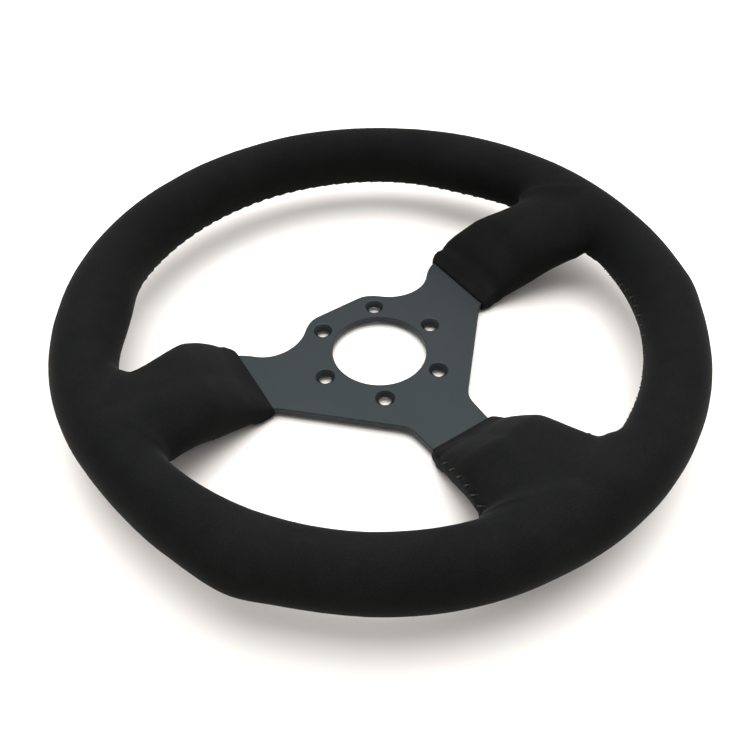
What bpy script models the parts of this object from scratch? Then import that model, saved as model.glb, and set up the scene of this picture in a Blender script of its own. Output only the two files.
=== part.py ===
"""Three-spoke steering wheel: spoke plate, rim hoop, foam grip and a sewn suede cover.

Frame: +Z is the steering axis and points at the driver, +Y points at 12 o'clock. The axis runs
through x = y = 0, and z = 0 is the plane that the wheel rests on when it lies face up.

The soft grip is one surface. Each of the three openings between the spokes has a boundary curve
(a spoke's edge, a soft corner, the rim's inner edge, a soft corner, the next spoke's edge) and a
ridge curve (the spoke's centre line, the rim's centre line, the next spoke's centre line).
Rounded cross-sections run from ridge to boundary, above and below. The rim's outer half closes it.
"""
import math

import bmesh
import bpy
import numpy as np
from mathutils import Vector

MM = 0.001

# Rim and plate
RIM_DIAMETER = 330 * MM
RIM_WIDTH = 31 * MM            # across the grip, seen from the driver's side
RIM_DEPTH = 35 * MM            # along the steering axis
PLATE_THICKNESS = 4 * MM
DISH = 28.5 * MM               # plate's front face below the rim's mid plane
BORE_DIAMETER = 51.5 * MM
BOLT_CIRCLE = 70 * MM
BOLT_COUNT = 6
BOLT_HOLE = 6.5 * MM
COUNTERSINK = 11.5 * MM
EDGE_CHAMFER = 0.35 * MM

# Cover, seam and clearances
COVER_THICKNESS = 1.2 * MM
GAP = 0.3 * MM
SEAM_GAP = 0.45 * MM
THREAD_RADIUS = 0.5 * MM
THREAD_STAND_OFF = 0.95 * MM

# Where the padded covers end on the plate's arms: distance out, upper and lower edge
COVER_ENDS = {"right": (70 * MM, 44.4 * MM, -5.2 * MM), "left": (65.5 * MM, 43.0 * MM, -8.0 * MM)}
COVER_END_BOTTOM = 70.5 * MM
BOTTOM_COVER_HALF_WIDTH = 19.2 * MM

# Inner frame
HOOP_RADIUS = 5 * MM
TAB_THICKNESS = 3 * MM
TAB_WIDTH = 24 * MM
TAB_REACH = (119 * MM, 150 * MM)
ARM_START = (72.2 * MM, -3.2 * MM, 42.3 * MM)      # side arms: distance out, lower and upper edge
BOTTOM_ARM_START = (73 * MM, 17.6 * MM)            # bottom arm: distance out, half width
ARM_END = 137 * MM
ARM_END_WIDTH = 26 * MM
ARM_STEPS = 8
ARM_NARROWS = (0, 0.14)        # stretch of the arm over which it narrows
ARM_RISES = (0.06, 0.7)        # stretch of the arm over which it climbs to the hoop
ARM_SIDE_ROOM = 0.9 * MM       # beside an arm in the foam, where the arm's edge runs at a slant
RIVET_DISTANCE = 128 * MM
RIVET_SPACING = 15 * MM
RIVET_SHANK = 5 * MM
RIVET_HEAD = 9 * MM
RIVET_HEAD_HEIGHT = 2 * MM

# Padding over a spoke: place along it (0 at the cover's end, 1 at the rim's centre line), then
# its top and bottom, from the rim's mid plane
SPOKE_PLACES = (0, 0.05, 0.1, 0.15, 0.2, 0.3, 0.4, 0.6, 0.8, 1)
SPOKE_TOP = tuple(h * MM for h in (-27, -26, -22.2, -17, -12.2, -4.2, 2.6, 7.9, 12.1, 17.5))
SPOKE_BOTTOM = tuple(h * MM for h in (-34, -34.3, -34.9, -35.2, -35, -34, -32.4, -24.8, -20.3, -17.5))
FLAT_POWER = 9                 # extra squareness of the section where the cover lies on the plate
UPPER_FLAT_FADE = (0.03, 0.14)                     # places between which it fades, above the arm
LOWER_FLAT_FADE = (0.05, 0.22)                     # and behind it
PAD_POWER = 1.1                # extra squareness of the padded spoke
PAD_FADE = 0.75                # place where the section has become an ellipse

# Edges of the padded spokes: the handles of a cubic curve that starts at the cover's end, the rim
# angle that it aims at, and how far from that corner it starts to turn
UPPER_EDGE = {"handles": ((89.5, 51.8), (107.5, 26)), "angle": 14, "turn": 7.4 * MM}
LOWER_EDGE = {"handles": ((79, -7.4), (105.5, -10.2)), "angle": -10, "turn": 6.0 * MM}
BOTTOM_EDGE = {"handles": ((25.8, -85), (27.5, -119)), "angle": -73.3, "turn": 6.4 * MM}
JUNCTION_SHARE = 0.56          # of the rim's width, from its centre line to where a spoke begins
SIDE_SPOKE_ANGLE = 0.7         # degrees above 3 o'clock where a side spoke meets the rim
LOWER_SPLIT_ANGLE = -42        # where the two halves of a lower opening meet on the rim
GRIP_SWELL = 4.5 * MM          # thumb swell on the rim's inner edge above the side spokes
GRIP_SWELL_ANGLE = 33
GRIP_SWELL_SPREAD = 11

# Mesh steps of the soft grip
EDGE_PLACES = (0, 0.075, 0.16, 0.25, 0.38, 0.54, 0.76, 1)
JUNCTION_STEPS = 2
CORNER_STEPS = 3
ARC_STEPS = 9
SECTION_STEPS = 4
SEAM_STEPS = {"right": 1, "left": 1, "bottom": 0}  # from the widest line back to the seam
SEAM_CLIMB = (0.3, 0.45)       # share of a lower opening over which the seam changes its place
FOAM_START_ROW = 2
CURVE_STEPS = 120
REAR_COVER_ROWS = len(EDGE_PLACES) - 1
WELD = 0.001 * MM
BORE_STEPS = 64
HOLE_STEPS = 20
RIVET_STEPS = 12
HOOP_STEPS = 60
TUBE_STEPS = 8

RIM_RADIUS = (RIM_DIAMETER - RIM_WIDTH) / 2
INNER_RADIUS = RIM_RADIUS - RIM_WIDTH / 2
RIM_Z = -min(SPOKE_BOTTOM)
PLATE_TOP = RIM_Z - DISH
TAB_TOP = RIM_Z - HOOP_RADIUS - GAP
ARM_END_TOP = TAB_TOP - TAB_THICKNESS - GAP
SIDES = ("right", "left", "bottom")


# ---------------------------------------------------------------- scene and materials

def clear_scene():
    for item in list(bpy.data.objects):
        bpy.data.objects.remove(item, do_unlink=True)


def make_material(name, colour, roughness, metallic=0.0):
    material = bpy.data.materials.new(name)
    material.use_nodes = True
    shader = material.node_tree.nodes["Principled BSDF"]
    shader.inputs["Base Color"].default_value = (*colour, 1)
    shader.inputs["Roughness"].default_value = roughness
    shader.inputs["Metallic"].default_value = metallic
    material.diffuse_color = (*colour, 1)
    return material


def make_object(name, mesh_data, material):
    item = bpy.data.objects.new(name, mesh_data)
    bpy.context.scene.collection.objects.link(item)
    if material is not None:
        mesh_data.materials.append(material)
    return item


def mesh_from_bmesh(name, bm, smooth_angle=None):
    bm.normal_update()
    bmesh.ops.recalc_face_normals(bm, faces=bm.faces)
    data = bpy.data.meshes.new(name)
    bm.to_mesh(data)
    bm.free()
    if smooth_angle is not None:
        data.shade_smooth()
        data.set_sharp_from_angle(angle=math.radians(smooth_angle))
    return data


def mark_as_cutter(item):
    item.display_type = "WIRE"
    item.hide_render = True


def cut(item, cutters):
    for cutter in cutters:
        mark_as_cutter(cutter)
        modifier = item.modifiers.new("cut " + cutter.name, "BOOLEAN")
        modifier.operation = "DIFFERENCE"
        modifier.solver = "EXACT"
        modifier.object = cutter


# ---------------------------------------------------------------- curves

def polar(radius, degrees):
    angle = math.radians(degrees)
    return np.array([radius * math.cos(angle), radius * math.sin(angle)])


def cubic(start, handle_a, handle_b, end, steps):
    u = np.linspace(0, 1, steps + 1)[:, None]
    v = 1 - u
    points = v ** 3 * np.array(start) + 3 * v * v * u * np.array(handle_a)
    return points + 3 * v * u * u * np.array(handle_b) + u ** 3 * np.array(end)


def lengths_along(points):
    steps = np.linalg.norm(np.diff(points, axis=0), axis=1)
    return np.concatenate([[0], np.cumsum(steps)])


def points_at(points, distances):
    along = lengths_along(points)
    return np.stack([np.interp(distances, along, points[:, k]) for k in (0, 1)], axis=1)


def smooth_interpolation(x, knots, values):
    """Monotone cubic through the knots, so a profile never overshoots."""
    knots = np.array(knots, float)
    values = np.array(values, float)
    widths = np.diff(knots)
    slopes = np.diff(values) / widths
    tangents = np.zeros(len(knots))
    for i in range(1, len(knots) - 1):
        if slopes[i - 1] * slopes[i] > 0:
            a = 2 * widths[i] + widths[i - 1]
            b = widths[i] + 2 * widths[i - 1]
            tangents[i] = (a + b) / (a / slopes[i - 1] + b / slopes[i])
    i = np.clip(np.searchsorted(knots, x) - 1, 0, len(knots) - 2)
    t = (x - knots[i]) / widths[i]
    ends = (1 + 2 * t) * (1 - t) ** 2 * values[i] + t * t * (3 - 2 * t) * values[i + 1]
    turns = t * (1 - t) ** 2 * tangents[i] + t * t * (t - 1) * tangents[i + 1]
    return ends + turns * widths[i]


def smooth_step(x, low, high):
    t = np.clip((x - low) / (high - low), 0, 1)
    return t * t * (3 - 2 * t)


# ---------------------------------------------------------------- the soft grip's surface

def spoke_line(side):
    """Start and end of a spoke's centre line and its angle, drawn for the right-hand half."""
    if side == "bottom":
        return np.array([0, -COVER_END_BOTTOM]), polar(RIM_RADIUS, -90), -90
    out, top, bottom = COVER_ENDS[side]
    return np.array([out, (top + bottom) / 2]), polar(RIM_RADIUS, SIDE_SPOKE_ANGLE), SIDE_SPOKE_ANGLE


def inner_edge_radius(degrees):
    swell = np.exp(-((degrees - GRIP_SWELL_ANGLE) / GRIP_SWELL_SPREAD) ** 2)
    return INNER_RADIUS - GRIP_SWELL * swell


def half_opening(side, edge, start, rim_stop):
    """Boundary, ridge and place along the spoke, from a cover's end to an angle on the rim."""
    line_start, junction, junction_angle = spoke_line(side)
    handles = [np.array(h) * MM for h in edge["handles"]]
    corner = polar(INNER_RADIUS, edge["angle"])
    whole = cubic(start, *handles, corner, CURVE_STEPS)
    edge_length = lengths_along(whole)[-1] - edge["turn"]
    edge_points = points_at(whole, edge_length * np.array(EDGE_PLACES))

    turn = math.degrees(edge["turn"] / INNER_RADIUS) * np.sign(rim_stop - edge["angle"])
    arc_angles = np.linspace(edge["angle"] + turn, rim_stop, ARC_STEPS + 1)
    arc = np.stack([polar(inner_edge_radius(a), a) for a in arc_angles])
    u = np.linspace(0, 1, JUNCTION_STEPS + CORNER_STEPS + 1)[:, None]
    corner_points = (1 - u) ** 2 * edge_points[-1] + 2 * u * (1 - u) * corner + u * u * arc[0]

    length = np.linalg.norm(junction - line_start)
    last = 1 - RIM_WIDTH * JUNCTION_SHARE / length
    places = np.concatenate([last * np.array(EDGE_PLACES),
                             np.linspace(last, 1, JUNCTION_STEPS + 1)[1:]])
    angles = np.concatenate([np.linspace(junction_angle, arc_angles[0], CORNER_STEPS + 1)[1:],
                             arc_angles[1:]])
    ridge = np.concatenate([line_start + places[:, None] * (junction - line_start),
                            np.stack([polar(RIM_RADIUS, a) for a in angles])])
    boundary = np.concatenate([edge_points, corner_points[1:], arc[1:]])
    return boundary, ridge, np.concatenate([places, np.ones(len(angles))])


def mirrored(half):
    boundary, ridge, places = half
    return boundary * [-1, 1], ridge * [-1, 1], places


def join_halves(first, second):
    return [np.concatenate([a, b[::-1][1:]]) for a, b in zip(first, second)]


def openings():
    """Boundary, ridge and spoke places of the three openings, with the spokes at their ends."""
    halves = {}
    for side, (out, top, bottom) in COVER_ENDS.items():
        halves["upper", side] = half_opening(side, UPPER_EDGE, (out, top), 90)
        halves["lower", side] = half_opening(side, LOWER_EDGE, (out, bottom), LOWER_SPLIT_ANGLE)
    foot_start = (BOTTOM_COVER_HALF_WIDTH, -COVER_END_BOTTOM)
    foot = half_opening("bottom", BOTTOM_EDGE, foot_start, LOWER_SPLIT_ANGLE)
    left_upper = mirrored(halves["upper", "left"])
    left_lower = mirrored(halves["lower", "left"])
    return {"upper": (join_halves(halves["upper", "right"], left_upper), "right", "left"),
            "lower_right": (join_halves(halves["lower", "right"], foot), "right", "bottom"),
            "lower_left": (join_halves(left_lower, mirrored(foot)), "left", "bottom")}


def opening_grids(boundary, ridge, places):
    """Upper and lower points, [row along the opening][step from ridge to boundary]."""
    top = smooth_interpolation(places, SPOKE_PLACES, SPOKE_TOP) + RIM_Z
    bottom = smooth_interpolation(places, SPOKE_PLACES, SPOKE_BOTTOM) + RIM_Z
    middle = (top + bottom) / 2
    # A power of 2 is an ellipse, as on the rim; a high one is the flat box where a cover ends
    pad_power = 2 + PAD_POWER * np.clip(1 - places / PAD_FADE, 0, 1)
    angle = np.linspace(0, math.pi / 2, SECTION_STEPS + 1)[None, :]
    grids = []
    for depth, fade in ((top - middle, UPPER_FLAT_FADE), (bottom - middle, LOWER_FLAT_FADE)):
        power = pad_power + FLAT_POWER * (1 - smooth_step(places, *fade))
        across = np.sin(angle) ** (2 / power)[:, None]
        rise = np.cos(angle).clip(0) ** (2 / power)[:, None] * depth[:, None]
        rise[:, -1] = 0
        plan = ridge[:, None, :] + (boundary - ridge)[:, None, :] * across[..., None]
        grids.append(np.concatenate([plan, (middle[:, None] + rise)[..., None]], axis=2))
    return grids


def outer_grids(shapes):
    """The rim's outer half, on the same angles as the openings' ridges."""
    angles = set()
    for (boundary, ridge, places), _, _ in shapes.values():
        for x, y in ridge[places >= 1]:
            angles.add(round(math.degrees(math.atan2(y, x)) % 360, 6))
    angles = np.radians(sorted(angles))
    angles = np.append(angles, angles[0] + 2 * math.pi)
    sweep = np.linspace(0, math.pi / 2, SECTION_STEPS + 1)
    radius = RIM_RADIUS + RIM_WIDTH / 2 * np.sin(sweep)
    rise = RIM_DEPTH / 2 * np.cos(sweep)
    rise[-1] = 0
    x = np.cos(angles)[:, None] * radius
    y = np.sin(angles)[:, None] * radius
    return [np.stack([x, y, RIM_Z + sign * rise + 0 * x], axis=2) for sign in (1, -1)]


def add_grid(bm, grid, is_upper, tag_of_face):
    """Add a grid's quads facing out, each tagged with its rear cover and its row from an end."""
    tag = bm.faces.layers.int["rear"]
    row = bm.faces.layers.int["row"]
    rows, columns = grid.shape[:2]
    verts = [[bm.verts.new(p) for p in line] for line in grid]
    for i in range(rows - 1):
        for j in range(columns - 1):
            quad = [verts[i][j], verts[i + 1][j], verts[i + 1][j + 1], verts[i][j + 1]]
            across = np.array(quad[2].co - quad[0].co)
            back = np.array(quad[3].co - quad[1].co)
            if (np.cross(across, back)[2] > 0) != is_upper:
                quad.reverse()
            face = bm.faces.new(quad)
            face[tag] = 0 if is_upper or not tag_of_face else tag_of_face(i, j)
            face[row] = min(i, rows - 2 - i) if tag_of_face else rows


def grip_skin():
    """The grip's outer skin: points, outward normals, quads and their rear tag and row."""
    bm = bmesh.new()
    bm.faces.layers.int.new("rear")
    bm.faces.layers.int.new("row")
    shapes = openings()
    for shape, first, last in shapes.values():
        row_count = len(shape[0]) - 1

        def rear_tag(i, j, first=first, last=last, row_count=row_count):
            if i < REAR_COVER_ROWS:
                side = first
            elif i >= row_count - REAR_COVER_ROWS:
                side = last
            else:
                return 0
            return SIDES.index(side) + 1 if j < SECTION_STEPS - SEAM_STEPS[side] else 0

        for grid, is_upper in zip(opening_grids(*shape), (True, False)):
            add_grid(bm, grid, is_upper, rear_tag)
    for grid, is_upper in zip(outer_grids(shapes), (True, False)):
        add_grid(bm, grid, is_upper, None)
    bmesh.ops.remove_doubles(bm, verts=bm.verts, dist=WELD)
    bm.normal_update()
    bm.verts.index_update()
    points = np.array([v.co for v in bm.verts])
    normals = np.array([v.normal for v in bm.verts])
    tag = bm.faces.layers.int["rear"]
    row = bm.faces.layers.int["row"]
    quads = [([v.index for v in f.verts], f[tag], f[row]) for f in bm.faces]
    bm.free()
    return points, normals, quads


def corner_direction(index, quads, points, fixed_edges):
    """Direction from a patch's border point into the patch, away from its sewn edges."""
    direction = np.zeros(3)
    for quad in quads:
        if index not in quad:
            continue
        k = quad.index(index)
        neighbours = [quad[(k + 1) % 4], quad[(k - 1) % 4]]
        free = [n for n in neighbours if frozenset((index, n)) not in fixed_edges]
        for n in free or [quad[(k + 2) % 4]]:
            step = points[n] - points[index]
            direction += step / np.linalg.norm(step)
    return direction / np.linalg.norm(direction)


def edges_of(quads):
    return {frozenset((a, b)) for quad in quads for a, b in zip(quad, quad[1:] + quad[:1])}


def triangles_of(quad):
    """Every skin made from the grip's quads folds along the same diagonals."""
    a, b, c, d = quad
    return [(a, b, c), (a, c, d)]


def add_sheet(bm, outer, inner, quads):
    """A closed sheet: quads on the outer points, quads on the inner points, and a rim wall."""
    used = sorted({k for quad in quads for k in quad})
    high = {k: bm.verts.new(outer[k]) for k in used}
    low = {k: bm.verts.new(inner[k]) for k in used}
    directed = set()
    for quad in quads:
        for triangle in triangles_of(quad):
            bm.faces.new([high[k] for k in triangle])
            bm.faces.new([low[k] for k in reversed(triangle)])
        directed.update(zip(quad, quad[1:] + quad[:1]))
    for a, b in directed:
        if (b, a) not in directed:
            bm.faces.new([high[b], high[a], low[a], low[b]])


def build_covers(points, normals, quads, material):
    inner = points - normals * COVER_THICKNESS
    front = [quad for quad, rear, _ in quads if rear == 0]
    bm = bmesh.new()
    add_sheet(bm, points, inner, front)
    make_object("rim_cover", mesh_from_bmesh("rim_cover", bm, 40), material)
    front_edges = edges_of(front)
    for tag, side in enumerate(SIDES, 1):
        patch = [quad for quad, rear, _ in quads if rear == tag]
        sewn = edges_of(patch) & front_edges
        outer_points = points.copy()
        for index in {k for edge in sewn for k in edge}:
            step = corner_direction(index, patch, points, sewn)
            outer_points[index] = points[index] + step * SEAM_GAP
        bm = bmesh.new()
        add_sheet(bm, outer_points, outer_points - normals * COVER_THICKNESS, patch)
        name = f"spoke_back_cover_{side}"
        make_object(name, mesh_from_bmesh(name, bm, 40), material)


# ---------------------------------------------------------------- spoke plate

def arm_lines(side):
    """Start and end of a plate arm's centre line, with its half width at the start."""
    if side == "bottom":
        out, half = BOTTOM_ARM_START
        return np.array([0, -out]), polar(RIM_RADIUS, -90), half
    out, low, high = ARM_START
    start = np.array([out, (low + high) / 2])
    end = polar(RIM_RADIUS, SIDE_SPOKE_ANGLE)
    if side == "left":
        return start * [-1, 1], end * [-1, 1], (high - low) / 2
    return start, end, (high - low) / 2


def arm_rows(side):
    """Pairs of points across a bent arm's front face, from the flat plate to the rim's core."""
    start, junction, half_start = arm_lines(side)
    axis = (junction - start) / np.linalg.norm(junction - start)
    across = np.array([-axis[1], axis[0]])
    reach = ARM_END - np.linalg.norm(start)
    rows = []
    for place in np.linspace(0, 1, ARM_STEPS + 1):
        centre = start + axis * reach * place
        narrowing = smooth_step(place, *ARM_NARROWS)
        half = half_start + (ARM_END_WIDTH / 2 - half_start) * narrowing
        height = PLATE_TOP + (ARM_END_TOP - PLATE_TOP) * smooth_step(place, *ARM_RISES)
        if place == 0 and side != "bottom":
            across_here = np.array([0.0, 1.0]) * np.sign(across[1])
        else:
            across_here = across
        rows.append([np.array([*(centre + s * half * across_here), height]) for s in (-1, 1)])
    return rows


def cubic_mm(points, steps):
    return cubic(*[np.array(point) * MM for point in points], steps)


def plate_half_outline():
    """Right half of the flat plate, from 12 o'clock round to the bottom arm."""
    out, low, high = [round(size / MM, 4) for size in ARM_START]
    foot_out, foot_half = BOTTOM_ARM_START
    boss = cubic_mm([(14, 41.7), (19.5, 41.5), (23, 38.4), (27, 34.6)], 5)
    scallop = cubic_mm([(27, 34.6), (35, 27), (50, 25.3), (58.5, 34.4)], 8)
    shoulder = cubic_mm([(58.5, 34.4), (63.5, 39.6), (67, 41.6), (out, high)], 4)
    elbow = cubic_mm([(out, low), (69.7, low), (68.2, -3.8), (65.2, -6.8)], 4)
    ankle = cubic_mm([(22.5, -49.5), (19.2, -52.8), (18.6, -55), (18.3, -59)], 5)
    foot = np.array([(foot_half, -foot_out)])
    return np.concatenate([boss, scallop[1:], shoulder[1:], elbow, ankle, foot])


def plate_sheet():
    """The plate's front face: the flat hub as one face, with the bent arms as strips."""
    right = plate_half_outline()
    outline = np.concatenate([right, (right * [-1, 1])[::-1]])
    bm = bmesh.new()
    hub = [bm.verts.new((x, y, PLATE_TOP)) for x, y in outline]
    bm.faces.new(hub)
    for side in SIDES:
        rows = arm_rows(side)
        previous = [min(hub, key=lambda v, p=p: (v.co - Vector(p)).length) for p in rows[0]]
        for row in rows[1:]:
            current = [bm.verts.new(p) for p in row]
            bm.faces.new([previous[0], previous[1], current[1], current[0]])
            previous = current
    bmesh.ops.recalc_face_normals(bm, faces=bm.faces)
    bm.normal_update()
    if max(bm.faces, key=lambda f: f.calc_area()).normal.z < 0:
        bmesh.ops.reverse_faces(bm, faces=bm.faces)
    data = bpy.data.meshes.new("spoke_plate")
    bm.to_mesh(data)
    bm.free()
    return data


def lathe(name, profile, steps, location=(0, 0, 0)):
    """Closed turned solid from (radius, height) points that start and end on the axis."""
    bm = bmesh.new()
    rings = []
    for radius, height in profile:
        if radius == 0:
            rings.append([bm.verts.new((0, 0, height))])
            continue
        rings.append([bm.verts.new((radius * math.cos(a), radius * math.sin(a), height))
                      for a in np.linspace(0, 2 * math.pi, steps, endpoint=False)])
    for lower, upper in zip(rings, rings[1:]):
        for k in range(steps):
            a = [lower[k % len(lower)], lower[(k + 1) % len(lower)]]
            b = [upper[(k + 1) % len(upper)], upper[k % len(upper)]]
            bm.faces.new(list(dict.fromkeys(a + b)))
    bmesh.ops.translate(bm, verts=bm.verts, vec=Vector(location))
    return mesh_from_bmesh(name, bm, 40)


def bore_cutter():
    radius = BORE_DIAMETER / 2
    flare = radius + EDGE_CHAMFER + MM
    bottom = PLATE_TOP - PLATE_THICKNESS
    profile = [(0, bottom - MM), (flare, bottom - MM), (radius, bottom + EDGE_CHAMFER),
               (radius, PLATE_TOP - EDGE_CHAMFER), (flare, PLATE_TOP + MM), (0, PLATE_TOP + MM)]
    return make_object("cutter_bore", lathe("cutter_bore", profile, BORE_STEPS), None)


def bolt_hole_cutters():
    radius = BOLT_HOLE / 2
    depth = COUNTERSINK / 2 - radius
    profile = [(0, PLATE_TOP - PLATE_THICKNESS - MM), (radius, PLATE_TOP - PLATE_THICKNESS - MM),
               (radius, PLATE_TOP - depth), (COUNTERSINK / 2 + MM, PLATE_TOP + MM),
               (0, PLATE_TOP + MM)]
    cutters = []
    for k in range(BOLT_COUNT):
        x, y = polar(BOLT_CIRCLE / 2, 360 * k / BOLT_COUNT)
        data = lathe(f"cutter_bolt_hole_{k}", profile, HOLE_STEPS, (x, y, 0))
        cutters.append(make_object(f"cutter_bolt_hole_{k}", data, None))
    return cutters


def rivet_places(side):
    start, junction, _ = arm_lines(side)
    axis = (junction - start) / np.linalg.norm(junction - start)
    across = np.array([-axis[1], axis[0]])
    centre = start + axis * (RIVET_DISTANCE - np.linalg.norm(start))
    return [centre + s * across * RIVET_SPACING / 2 for s in (-1, 1)]


def rivet_hole_cutters(side):
    cutters = []
    radius = RIVET_SHANK / 2 + GAP
    low = ARM_END_TOP - 3 * PLATE_THICKNESS
    high = TAB_TOP + 2 * MM
    for k, (x, y) in enumerate(rivet_places(side)):
        name = f"cutter_rivet_{side}_{k}"
        profile = [(0, low), (radius, low), (radius, high), (0, high)]
        cutters.append(make_object(name, lathe(name, profile, RIVET_STEPS, (x, y, 0)), None))
    return cutters


def build_plate(material, rivet_cutters):
    plate = make_object("spoke_plate", plate_sheet(), material)
    solidify = plate.modifiers.new("thickness", "SOLIDIFY")
    solidify.thickness = PLATE_THICKNESS
    solidify.offset = -1
    solidify.use_even_offset = True
    bevel = plate.modifiers.new("edge chamfer", "BEVEL")
    bevel.width = EDGE_CHAMFER
    bevel.segments = 1
    bevel.limit_method = "ANGLE"
    bevel.angle_limit = math.radians(60)
    bevel.use_clamp_overlap = True
    cut(plate, [bore_cutter(), *bolt_hole_cutters(), *rivet_cutters])


# ---------------------------------------------------------------- inner frame and foam

def torus(name, tube_radius):
    bm = bmesh.new()
    rings = []
    for k in range(HOOP_STEPS):
        x, y = polar(1, 360 * k / HOOP_STEPS)
        ring = []
        for j in range(TUBE_STEPS):
            out, up = polar(tube_radius, 360 * j / TUBE_STEPS)
            ring.append(bm.verts.new((x * (RIM_RADIUS + out), y * (RIM_RADIUS + out), RIM_Z + up)))
        rings.append(ring)
    for k in range(HOOP_STEPS):
        for j in range(TUBE_STEPS):
            a, b = rings[k], rings[(k + 1) % HOOP_STEPS]
            n = (j + 1) % TUBE_STEPS
            bm.faces.new([a[j], b[j], b[n], a[n]])
    return mesh_from_bmesh(name, bm, 60)


def tab_mesh(name, side, grow=0.0):
    """Flat rectangle under the hoop, along the spoke."""
    start, junction, _ = arm_lines(side)
    axis = (junction - start) / np.linalg.norm(junction - start)
    across = np.array([-axis[1], axis[0]])
    bm = bmesh.new()
    bmesh.ops.create_cube(bm, size=1)
    for vert in bm.verts:
        out = TAB_REACH[1] + grow if vert.co.x > 0 else TAB_REACH[0] - grow
        wide = np.sign(vert.co.y) * (TAB_WIDTH / 2 + grow)
        x, y = start + axis * (out - np.linalg.norm(start)) + across * wide
        z = TAB_TOP + grow if vert.co.z > 0 else TAB_TOP - TAB_THICKNESS - grow
        vert.co = (x, y, z)
    return mesh_from_bmesh(name, bm)


def arm_space(side):
    """The room that the foam leaves for an arm: the arm's bent strip, grown by the gap."""
    name = f"cutter_arm_{side}"
    rows = arm_rows(side)
    rows.insert(0, [2 * a - b for a, b in zip(rows[0], rows[1])])
    rows[0][0][2] = rows[0][1][2] = PLATE_TOP
    rows.append([b + (b - a) * GAP / np.linalg.norm(b - a) for a, b in zip(rows[-2], rows[-1])])
    middles = [(low + high) / 2 for low, high in rows]
    loops = []
    bm = bmesh.new()
    for k, (low, high) in enumerate(rows):
        across = (high - low) / np.linalg.norm(high - low)
        steps = [middles[k] - middles[k - 1]] if k else []
        if k + 1 < len(rows):
            steps.append(middles[k + 1] - middles[k])
        faces = [np.cross(step, across) for step in steps]
        faces = [face / np.linalg.norm(face) * np.sign(face[2]) for face in faces]
        up = sum(faces) / np.linalg.norm(sum(faces))
        up = up / np.dot(up, faces[0])
        low, high = low - across * ARM_SIDE_ROOM, high + across * ARM_SIDE_ROOM
        under = PLATE_THICKNESS + GAP
        corners = (low + up * GAP, high + up * GAP, high - up * under, low - up * under)
        loops.append([bm.verts.new(corner) for corner in corners])
    for a, b in zip(loops, loops[1:]):
        for k in range(4):
            n = (k + 1) % 4
            bm.faces.new([a[k], a[n], b[n], b[k]])
    bm.faces.new(loops[0])
    bm.faces.new(loops[-1][::-1])
    return make_object(name, mesh_from_bmesh(name, bm), None)


def rivet_profile(grow=0.0):
    head = RIVET_HEAD / 2 + grow
    shank = RIVET_SHANK / 2
    low = ARM_END_TOP - PLATE_THICKNESS - GAP
    high = TAB_TOP + GAP
    top = high + RIVET_HEAD_HEIGHT + grow
    bottom = low - RIVET_HEAD_HEIGHT - grow
    if grow:
        return [(0, bottom), (head, bottom), (head, top), (0, top)]
    return [(0, bottom), (head * 0.7, bottom), (head, low - 0.6 * MM), (head, low), (shank, low),
            (shank, high), (head, high), (head, high + 0.6 * MM), (head * 0.7, top), (0, top)]


def build_inner_frame(side, steel, rivet_cutters):
    tab = make_object(f"hoop_tab_{side}", tab_mesh(f"hoop_tab_{side}", side), steel)
    cut(tab, rivet_cutters)
    for k, (x, y) in enumerate(rivet_places(side), 1):
        name = f"rivet_{side}_{k}"
        make_object(name, lathe(name, rivet_profile(), RIVET_STEPS, (x, y, 0)), steel)


def foam_cutters():
    cutters = [make_object("cutter_hoop", torus("cutter_hoop", HOOP_RADIUS + GAP), None)]
    for side in SIDES:
        cutters.append(arm_space(side))
        name = f"cutter_tab_{side}"
        cutters.append(make_object(name, tab_mesh(name, side, GAP), None))
        for k, (x, y) in enumerate(rivet_places(side)):
            name = f"cutter_rivet_room_{side}_{k}"
            data = lathe(name, rivet_profile(GAP), RIVET_STEPS, (x, y, 0))
            cutters.append(make_object(name, data, None))
    return cutters


def build_foam(points, normals, quads, material):
    surface = points - normals * (COVER_THICKNESS + GAP)
    kept = [quad for quad, _, row in quads if row >= FOAM_START_ROW]
    bm = bmesh.new()
    verts = {k: bm.verts.new(surface[k]) for k in sorted({k for quad in kept for k in quad})}
    directed = set()
    for quad in kept:
        for triangle in triangles_of(quad):
            bm.faces.new([verts[k] for k in triangle])
        directed.update(zip(quad, quad[1:] + quad[:1]))
    follow = {b: a for a, b in directed if (b, a) not in directed}
    while follow:
        start, at = follow.popitem()
        loop = [start]
        while at != start:
            loop.append(at)
            at = follow.pop(at)
        middle = bm.verts.new(np.mean([surface[k] for k in loop], axis=0))
        for a, b in zip(loop, loop[1:] + loop[:1]):
            bm.faces.new([verts[a], verts[b], middle])
    foam = make_object("foam_padding", mesh_from_bmesh("foam_padding", bm, 40), material)
    cut(foam, foam_cutters())


# ---------------------------------------------------------------- stitching

def thread_mesh(name, path, steps=6):
    """A cord along a path of points, with flat ends."""
    bm = bmesh.new()
    rings = []
    for k, point in enumerate(path):
        tangent = path[min(k + 1, len(path) - 1)] - path[max(k - 1, 0)]
        side = np.cross(tangent, (0, 0, 1))
        side = side / np.linalg.norm(side)
        rise = np.cross(side, tangent)
        rise = rise / np.linalg.norm(rise)
        ring = []
        for j in range(steps):
            a, b = polar(THREAD_RADIUS, 360 * j / steps)
            ring.append(bm.verts.new(point + side * a + rise * b))
        rings.append(ring)
    for a, b in zip(rings, rings[1:]):
        for j in range(steps):
            n = (j + 1) % steps
            bm.faces.new([a[j], a[n], b[n], b[j]])
    bm.faces.new(rings[0])
    bm.faces.new(rings[-1][::-1])
    return mesh_from_bmesh(name, bm, 60)


def normal_near(point, points, normals):
    return normals[np.argmin(np.linalg.norm(points - point, axis=1))]


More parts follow.
